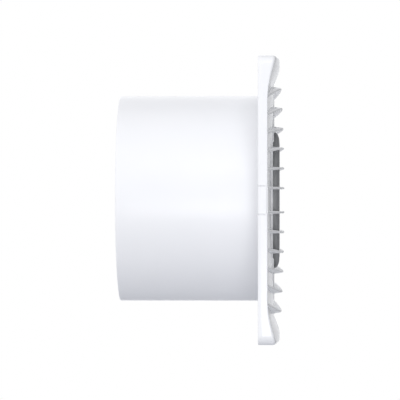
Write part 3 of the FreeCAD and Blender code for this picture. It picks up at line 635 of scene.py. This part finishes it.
def build_cover_frame(bm):
    """The frame as one closed skin: front, rounded edge, skirt, inside and opening wall."""
    s = sizes()
    rounds = edge_rounds()
    edge = inset_outline(rounds)
    circle = []
    for x, z in edge:
        angle = math.atan2(z, x)
        circle.append((s.opening * math.cos(angle), s.opening * math.sin(angle)))

    def between(share):
        return [(a[0] + (b[0] - a[0]) * share, a[1] + (b[1] - a[1]) * share)
                for a, b in zip(circle, edge)]

    rows = []
    front_steps = 64
    lip = 0.5 * MM
    lip_steps = 4
    for step in range(1, lip_steps + 1):
        back = lip * (1 - math.sin(math.pi / 2 * step / lip_steps))
        shrink = 1 - back / s.opening
        rows.append([cover_point(x * shrink, z * shrink, front_depth(x, z) - back)
                     for x, z in circle])
    for step in range(1, front_steps + 1):
        rows.append([cover_point(x, z, front_depth(x, z))
                     for x, z in between(step / front_steps)])
    tab_step = 0.5 * MM
    edge_front = [front_depth(x, z) - tab_step * tab_at(x, z) for x, z in edge]
    round_steps = 6
    for step in range(1, round_steps + 1):
        angle = math.pi / 2 * step / round_steps
        ring = inset_outline([r * (1 - math.sin(angle)) for r in rounds])
        rows.append([cover_point(x, z, depth - r * (1 - math.cos(angle)))
                     for (x, z), depth, r in zip(ring, edge_front, rounds)])
    skirt = outline(0.0)
    heel = 0.35 * MM
    for share in (0.66, 0.33, 0.0):
        row = []
        for (x, z), depth, r in zip(skirt, edge_front, rounds):
            cut = s.tab_groove * groove_at(x, z)
            side = 1 if x > 0 else -1
            row.append(cover_point(x - side * cut, z, heel + (depth - r - heel) * share))
        rows.append(row)
    rows.append([cover_point(x, z, 0.0) for x, z in outline(heel)])
    rows.append([cover_point(x, z, 0.0) for x, z in outline(s.wall)])
    inner = outline(s.wall)
    rows.append([cover_point(x, z, front_depth(x, z) - s.wall) for x, z in inner])
    inside_steps = 14
    for step in range(inside_steps, -1, -1):
        share = step / inside_steps * 0.98
        row = []
        for (cx, cz), (ox, oz) in zip(circle, inner):
            x = cx + (ox - cx) * share
            z = cz + (oz - cz) * share
            row.append(cover_point(x, z, front_depth(x, z) - s.wall))
        rows.append(row)
    add_rows(bm, rows)


def slat_section(number, side, x):
    """One closed cross-section of a slat in the y-z plane: it tapers to a rounded tip."""
    s = sizes()
    tip = slat_depth(number, x)
    inside = slat_inside(number, x)
    back = base_depth(x) - (s.wall if inside else 0.3 * MM)
    tip = max(tip, back + 0.35 * MM)
    share = min((tip - back) / (s.slat_tip - s.mid_depth), 1.0)
    root = s.slat_thickness / 2
    thin = root + (s.slat_tip_thickness / 2 - root) * share
    nose = min(thin, (tip - back) * 0.6)
    height = slat_height(number, x)
    lean = s.slat_lean * number
    points = []
    for step in range(9):
        angle = math.pi * step / 8 - math.pi / 2
        points.append((tip - nose + nose * math.cos(angle), height + thin * math.sin(angle)))
    points.append((back, height + root))
    points.append((back, height - root))
    return [Vector((x, -depth, COVER_Z + side * (z + lean * (tip - depth))))
            for depth, z in points]


def slat_inside(number, x):
    return math.hypot(x, slat_height(number, x)) < sizes().opening - 0.2 * MM


def build_slats(bm):
    s = sizes()
    reach = COVER_HALF - 0.4 * MM
    columns = 96
    for side in (-1, 1):
        for number in range(s.slat_pairs):
            rows = []
            for i in range(columns + 1):
                x = reach * math.sin(math.pi / 2 * (2 * i / columns - 1))
                rows.append(slat_section(number, side, x))
            made = add_rows(bm, rows, wrap_rows=False)
            bm.faces.new(made[0])
            bm.faces.new(made[-1])


def build_ribs(bm):
    """Upright ribs that cross the round opening behind the slats."""
    s = sizes()
    for number in range(-2, 3):
        x = number * s.rib_pitch
        reach = math.sqrt(s.opening ** 2 - x ** 2) + 0.3 * MM
        spans = [(-reach, reach)]
        disc_r = (DISC_HIGH.x - DISC_LOW.x) / 2 - 1.0 * MM
        if abs(x) < disc_r:
            clear = math.sqrt(disc_r ** 2 - x ** 2)
            spans = [(-reach, -clear), (clear, reach)]
        for low, high in spans:
            rows = []
            for i in range(9):
                z = low + (high - low) * i / 8
                row = []
                front = base_depth(x) + 0.35 * MM
                half = s.rib / 2
                for step in range(7):
                    angle = math.pi * step / 6 - math.pi / 2
                    row.append(cover_point(x + half * math.sin(angle), z,
                                           front - half * (1 - math.cos(angle))))
                row.append(cover_point(x + half * 0.8, z, front - 3.0 * MM))
                row.append(cover_point(x - half * 0.8, z, front - 3.0 * MM))
                rows.append(row)
            made = add_rows(bm, rows, wrap_rows=False)
            bm.faces.new(made[0])
            bm.faces.new(made[-1])


def build_disc(bm):
    """Bowed dish: face, bevel, side wall and inside, as rings about its own middle."""
    s = sizes()
    radius = (DISC_HIGH.x - DISC_LOW.x) / 2
    face = -DISC_LOW.y
    back = -DISC_HIGH.y
    wall = 1.6 * MM
    bevel_low = s.disc_bevel
    bow = s.mid_depth - s.edge_depth

    def ring(r, depth_of):
        row = []
        for i in range(192):
            angle = FULL_TURN * i / 192
            x = r * math.cos(angle)
            row.append(cover_point(x, r * math.sin(angle), depth_of(x)))
        return row

    def face_depth(x):
        return face - bow * along(x)

    outer = [(r * MM, 0.0) for r in (2, 6, 12, 18, 24, 29, 32)]
    outer.append((s.disc_face - 1.2 * MM, 0.0))
    outer.append((s.disc_face, 0.12 * MM))
    for step in range(1, 9):
        angle = math.pi / 2 * step / 8
        run = radius - s.disc_face
        outer.append((s.disc_face + run * math.sin(angle),
                      0.12 * MM + (face - bevel_low) * (1 - math.cos(angle))))
    rows = [ring(0.3 * MM, face_depth)]
    for r, drop in outer:
        rows.append(ring(r, lambda x, drop=drop: face_depth(x) - drop))
    rows.append(ring(radius, lambda x: back))
    rows.append(ring(radius - wall, lambda x: back))
    for r, drop in reversed(outer):
        inner_r = r * (radius - wall) / radius
        rows.append(ring(inner_r, lambda x, drop=drop: face_depth(x) - drop - wall))
    made = add_rows(bm, rows, wrap_rows=False)
    bm.faces.new(made[0])
    bm.faces.new(made[-1])


def build_screen(bm):
    """A woven screen: two crossing sets of wires that pass over and under each other."""
    s = sizes()
    radius = (SCREEN_HIGH.x - SCREEN_LOW.x) / 2
    level = (SCREEN_LOW.y + SCREEN_HIGH.y) / 2
    wire = s.screen_wire / 2
    count = int(radius / s.screen_pitch)
    for across in (False, True):
        for n in range(-count, count + 1):
            offset = n * s.screen_pitch
            reach = math.sqrt(max(radius ** 2 - offset ** 2, 0.0))
            steps = max(2, round(2 * reach / s.screen_pitch))
            rows = []
            for i in range(steps + 1):
                place = -reach + 2 * reach * i / steps
                phase = math.pi * (place / s.screen_pitch + n + (0 if across else 1))
                lift = wire * 0.8 * math.cos(phase)
                row = []
                for k in range(5):
                    angle = FULL_TURN * k / 5
                    u = offset + wire * math.cos(angle)
                    y = level + lift + wire * math.sin(angle)
                    x, z = (u, place) if across else (place, u)
                    row.append(Vector((x, y, z + COVER_Z)))
                rows.append(row)
            made = add_rows(bm, rows, wrap_rows=False)
            bm.faces.new(made[0])
            bm.faces.new(made[-1])


# ---------------------------------------------------------------- spigot
def spigot_profile():
    """The collar that sits in the plate, the straight tube behind it and the bore."""
    collar = (SPIGOT_HIGH.x - SPIGOT_LOW.x) / 2
    radius = inner_sizes().spigot_radius
    bore = radius - inner_sizes().spigot_wall
    front = SPIGOT_LOW.y
    rear = SPIGOT_HIGH.y
    corners = [(collar, front), (collar, 0.0), (radius, 0.0), (radius, rear), (bore, rear),
               (bore, front)]
    return round_corner(corners, 0.6 * MM)


def spaced_points(profile, longest):
    """A closed profile with its long stretches split into shorter ones."""
    spaced = []
    for i, point in enumerate(profile):
        start = Vector(point)
        end = Vector(profile[(i + 1) % len(profile)])
        pieces = max(1, round((end - start).length / longest))
        for k in range(pieces):
            spaced.append(tuple(start.lerp(end, k / pieces)))
    return spaced


def boss_span():
    """Where the bosses start and end along the duct: behind the cradle's feet."""
    screw_head = 2.0 * MM
    foot = 4.0 * MM
    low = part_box("cradle_screws")[0].y + screw_head + foot
    return low, low + inner_sizes().boss_length


def build_spigot(bm):
    """The round tube, with its four inside screw bosses as plain closed posts."""
    s = inner_sizes()
    spin_profile(bm, spaced_points(spigot_profile(), 10 * MM), count=320)
    low, high = boss_span()
    radius = s.boss_radius
    sunk = 0.4 * MM
    front_round = 0.3 * MM
    rear_round = 0.8 * MM
    centre_r = s.spigot_radius - s.spigot_wall - radius + sunk
    profile = [(low, s.boss_hole), (low, radius - front_round), (low + front_round, radius),
               (high - rear_round, radius), (high, radius - rear_round), (high, 0.2 * MM)]
    sides = 32
    for quarter in range(4):
        angle = math.pi / 4 + math.pi / 2 * quarter
        cx = centre_r * math.cos(angle)
        cz = centre_r * math.sin(angle)
        rows = []
        for y, r in profile:
            rows.append([Vector((cx + r * math.cos(FULL_TURN * i / sides), y,
                                 cz + r * math.sin(FULL_TURN * i / sides)))
                         for i in range(sides)])
        made = add_rows(bm, rows, wrap_rows=False)
        bm.faces.new(made[0])
        bm.faces.new(made[-1])


# ---------------------------------------------------------------- windings
def build_windings(bm):
    """Four coils, each of packed turns of round wire in layers round its pole."""
    s = inner_sizes()
    wire = s.coil_wire
    bobbin_wall = 0.8 * MM
    front = STACK_LOW.y - bobbin_wall
    rear = STACK_HIGH.y + bobbin_wall
    turns = int((s.coil_outer - s.coil_inner) / wire)
    for quarter in range(4):
        turn = math.pi / 4 + math.pi / 2 * quarter
        for layer in range(s.coil_layers):
            grow = wire * (layer + 0.5)
            half = s.coil_core_half + grow
            for t in range(turns):
                r = s.coil_inner + wire * (t + 0.5 + 0.5 * (layer % 2))
                add_turn(bm, r, half, front - grow, rear + grow, wire / 2, turn)


def add_turn(bm, r, half_width, y0, y1, wire, turn):
    """One closed rounded-rectangle turn of wire at radius r from the duct axis."""
    corner = 2.0 * MM
    corner_steps = 3
    wire_sides = 6
    path = []
    corners = [(half_width, y1), (-half_width, y1), (-half_width, y0), (half_width, y0)]
    for quarter, (w, y) in enumerate(corners):
        cw = w - math.copysign(corner, w)
        cy = y - corner if y == y1 else y + corner
        for step in range(corner_steps + 1):
            angle = math.pi / 2 * (quarter + step / corner_steps)
            path.append((cw + corner * math.cos(angle), cy + corner * math.sin(angle),
                         math.cos(angle), math.sin(angle)))
    rows = []
    for w, y, out_w, out_y in path:
        row = []
        for k in range(wire_sides):
            angle = FULL_TURN * k / wire_sides
            out = wire * math.cos(angle)
            x, z = turned_point(r + wire * math.sin(angle), w + out_w * out, turn)
            row.append(Vector((x, y + out_y * out, z)))
        rows.append(row)
    add_rows(bm, rows)


# ---------------------------------------------------------------- operators
class FAN_OT_materials(bpy.types.Operator):
    """Make the shared shader groups and every material"""

    bl_idname = "fan.materials"
    bl_label = "Make Materials"

    def execute(self, context):
        make_materials()
        return {"FINISHED"}


class FAN_OT_cover(bpy.types.Operator):
    """Build the bowed square frame, the slats with their ribs, and the centre disc"""

    bl_idname = "fan.cover"
    bl_label = "Build Cover"

    def execute(self, context):
        add_piece(mesh_from("cover_shell", build_cover_frame, 50.0), "cover_shell", "cover_frame",
                  "cover_white")
        # The slats and ribs carry the brighter slat white, which is painted light.
        add_piece(mesh_from("cover_slats", build_slats, 50.0), "cover_slats", "slat_grille",
                  "slat_lit_white")
        add_piece(mesh_from("cover_ribs", build_ribs, 50.0), "cover_ribs", "slat_grille",
                  "slat_lit_white")
        # The disc's dark grey material is painted shade.
        add_piece(mesh_from("disc", build_disc, 50.0), "disc", "centre_disc", "disc_painted_shade")
        return {"FINISHED"}


class FAN_OT_screen(bpy.types.Operator):
    """Weave the insect screen"""

    bl_idname = "fan.screen"
    bl_label = "Weave Screen"

    def execute(self, context):
        add_piece(mesh_from("woven_screen", build_screen, 60.0), "woven_screen", "insect_screen",
                  "screen_fibre")
        return {"FINISHED"}


class FAN_OT_spigot(bpy.types.Operator):
    """Build the round duct spigot"""

    bl_idname = "fan.spigot"
    bl_label = "Build Spigot"

    def execute(self, context):
        add_piece(mesh_from("spigot_tube", build_spigot, 35.0), "spigot_tube", "duct_spigot",
                  "spigot_white")
        return {"FINISHED"}


class FAN_OT_windings(bpy.types.Operator):
    """Wind the four motor coils"""

    bl_idname = "fan.windings"
    bl_label = "Wind Coils"

    def execute(self, context):
        add_piece(mesh_from("wound_coils", build_windings, 70.0), "wound_coils", "coil_windings",
                  "enamelled_copper")
        return {"FINISHED"}


class FAN_OT_fitted_parts(bpy.types.Operator):
    """Finish the remaining engineering parts: eased edges and their own material"""

    bl_idname = "fan.fitted_parts"
    bl_label = "Finish Fitted Parts"

    def execute(self, context):
        for node, (finish, width) in NODE_FINISH.items():
            mesh = eased_copy(node, width)
            add_piece(mesh, node + "_finished", node, finish)
        return {"FINISHED"}


class FAN_OT_stage(bpy.types.Operator):
    """Set the pale floor, the soft studio light and the side-on camera"""

    bl_idname = "fan.stage"
    bl_label = "Set Stage"

    def execute(self, context):
        set_floor()
        set_world()
        set_lights()
        set_camera()
        context.scene.view_settings.view_transform = "Standard"
        return {"FINISHED"}


# ---------------------------------------------------------------- stage
def set_floor():
    """A pale round floor that lights the fan from below and is plain white to the camera."""
    t = stage_values()
    bm = bmesh.new()
    bmesh.ops.create_circle(bm, cap_ends=True, segments=64, radius=t.floor_radius)
    mesh = bpy.data.meshes.new("floor")
    bm.to_mesh(mesh)
    bm.free()
    floor = bpy.data.objects.new("floor", mesh)
    bpy.context.scene.collection.objects.link(floor)
    floor.location.z = COVER_LOW.z - t.floor_drop
    material = bpy.data.materials.new("floor_white")
    material.use_nodes = True
    tree = material.node_tree
    shader = tree.nodes["Principled BSDF"]
    shader.inputs["Base Color"].default_value = (*[t.floor_tone * c for c in t.floor_tint], 1.0)
    shader.inputs["Roughness"].default_value = 0.9
    glow = tree.nodes.new("ShaderNodeEmission")
    ray = tree.nodes.new("ShaderNodeLightPath")
    mix = tree.nodes.new("ShaderNodeMixShader")
    tree.links.new(ray.outputs["Is Camera Ray"], mix.inputs["Fac"])
    tree.links.new(shader.outputs[0], mix.inputs[1])
    tree.links.new(glow.outputs[0], mix.inputs[2])
    tree.links.new(mix.outputs[0], tree.nodes["Material Output"].inputs["Surface"])
    mesh.materials.append(material)


def set_world():
    """White to the camera; to the fan, a room brightest to its left, with a lit wall beyond it."""
    t = stage_values()
    world = bpy.data.worlds.new("studio")
    bpy.context.scene.world = world
    world.use_nodes = True
    tree = world.node_tree
    ray = tree.nodes.new("ShaderNodeLightPath")
    place = tree.nodes.new("ShaderNodeTexCoord")
    side = Vector(t.bright_side).normalized()
    room_light = facing_ramp(tree, place, side, (-1.0, 1.0),
                             (max(t.room_level - t.room_swing, 0.0), t.room_level + t.room_swing))
    wall_light = facing_ramp(tree, place, Vector((1.0, 0.0, 0.0)), (0.55, 0.95),
                             (0.0, t.backdrop))
    clear_of_front = facing_ramp(tree, place, Vector((0.0, 1.0, 0.0)), (-0.40, 0.0), (0.0, 1.0))
    total = tree.nodes.new("ShaderNodeMath")
    total.operation = "MULTIPLY_ADD"
    tree.links.new(wall_light, total.inputs[0])
    tree.links.new(clear_of_front, total.inputs[1])
    tree.links.new(room_light, total.inputs[2])
    room = tree.nodes["Background"]
    room.inputs["Color"].default_value = (0.975, 0.98, 1.0, 1.0)
    tree.links.new(total.outputs[0], room.inputs["Strength"])
    seen = tree.nodes.new("ShaderNodeBackground")
    seen.inputs["Color"].default_value = (1.0, 1.0, 1.0, 1.0)
    mix = tree.nodes.new("ShaderNodeMixShader")
    tree.links.new(ray.outputs["Is Camera Ray"], mix.inputs["Fac"])
    tree.links.new(room.outputs[0], mix.inputs[1])
    tree.links.new(seen.outputs[0], mix.inputs[2])
    tree.links.new(mix.outputs[0], tree.nodes["World Output"].inputs["Surface"])


def facing_ramp(tree, place, direction, given, made):
    """Maps how far a sky direction faces the given direction onto a brightness."""
    dot = tree.nodes.new("ShaderNodeVectorMath")
    dot.operation = "DOT_PRODUCT"
    dot.inputs[1].default_value = direction
    tree.links.new(place.outputs["Generated"], dot.inputs[0])
    ramp = tree.nodes.new("ShaderNodeMapRange")
    ramp.inputs["From Min"].default_value, ramp.inputs["From Max"].default_value = given
    ramp.inputs["To Min"].default_value, ramp.inputs["To Max"].default_value = made
    tree.links.new(dot.outputs["Value"], ramp.inputs["Value"])
    return ramp.outputs["Result"]


def add_softbox(name, place, target, size, power):
    light = bpy.data.lights.new(name, "AREA")
    light.shape = "RECTANGLE"
    light.size, light.size_y = size
    light.energy = power
    lamp = bpy.data.objects.new(name, light)
    lamp.location = place
    direction = Vector(target) - Vector(place)
    lamp.rotation_euler = direction.to_track_quat("-Z", "Y").to_euler()
    bpy.context.scene.collection.objects.link(lamp)


def set_lights():
    t = stage_values()
    middle = (0.0, 0.03, 0.0)
    add_softbox("key_softbox", (-2.2, -0.45, 1.7), middle, (0.7, 0.7), t.key_power)
    add_softbox("low_softbox", (-2.2, -0.3, -0.5), middle, (0.8, 0.8), t.low_power)


def set_camera():
    """Side-on from the left, just in front of the wall face and turned to the fan's middle."""
    camera_data = bpy.data.cameras.new("camera")
    camera_data.sensor_width = 36.0
    camera_data.lens = 229.9
    camera = bpy.data.objects.new("camera", camera_data)
    place = Vector((-1.55, -3.0 * MM, -1.0 * MM))
    aim = Vector((0.0, 35.3 * MM, -1.0 * MM))
    camera.location = place
    camera.rotation_euler = (aim - place).to_track_quat("-Z", "Y").to_euler()
    bpy.context.scene.collection.objects.link(camera)
    bpy.context.scene.camera = camera


class FAN_PT_panel(bpy.types.Panel):
    """Fan panel in the 3D view's sidebar"""

    bl_idname = "FAN_PT_panel"
    bl_label = "Extractor Fan"
    bl_space_type = "VIEW_3D"
    bl_region_type = "UI"
    bl_category = "Fan"

    def draw(self, context):
        layout = self.layout
        scene = context.scene
        groups = (scene.fan_cover_sizes, scene.fan_inner_sizes, scene.fan_finishes,
                  scene.fan_stage)
        for group in groups:
            box = layout.box()
            for label in group.bl_rna.properties.keys():
                if label not in ("rna_type", "name"):
                    box.prop(group, label)
        for operator in OPERATORS:
            layout.operator(operator.bl_idname)


PROPERTY_GROUPS = (FanCoverSizes, FanInnerSizes, FanFinishes, FanStage)
OPERATORS = (FAN_OT_materials, FAN_OT_stage, FAN_OT_cover, FAN_OT_screen, FAN_OT_spigot,
             FAN_OT_windings, FAN_OT_fitted_parts)
CLASSES = (*PROPERTY_GROUPS, *OPERATORS, FAN_PT_panel)


def register():
    for cls in CLASSES:
        bpy.utils.register_class(cls)
    bpy.types.Scene.fan_cover_sizes = PointerProperty(type=FanCoverSizes)
    bpy.types.Scene.fan_inner_sizes = PointerProperty(type=FanInnerSizes)
    bpy.types.Scene.fan_finishes = PointerProperty(type=FanFinishes)
    bpy.types.Scene.fan_stage = PointerProperty(type=FanStage)


def unregister():
    del bpy.types.Scene.fan_stage
    del bpy.types.Scene.fan_finishes
    del bpy.types.Scene.fan_inner_sizes
    del bpy.types.Scene.fan_cover_sizes
    for cls in reversed(CLASSES):
        bpy.utils.unregister_class(cls)


def main():
    register()
    for operator in OPERATORS:
        family, action = operator.bl_idname.split(".")
        getattr(getattr(bpy.ops, family), action)()


if __name__ == "__main__":
    main()
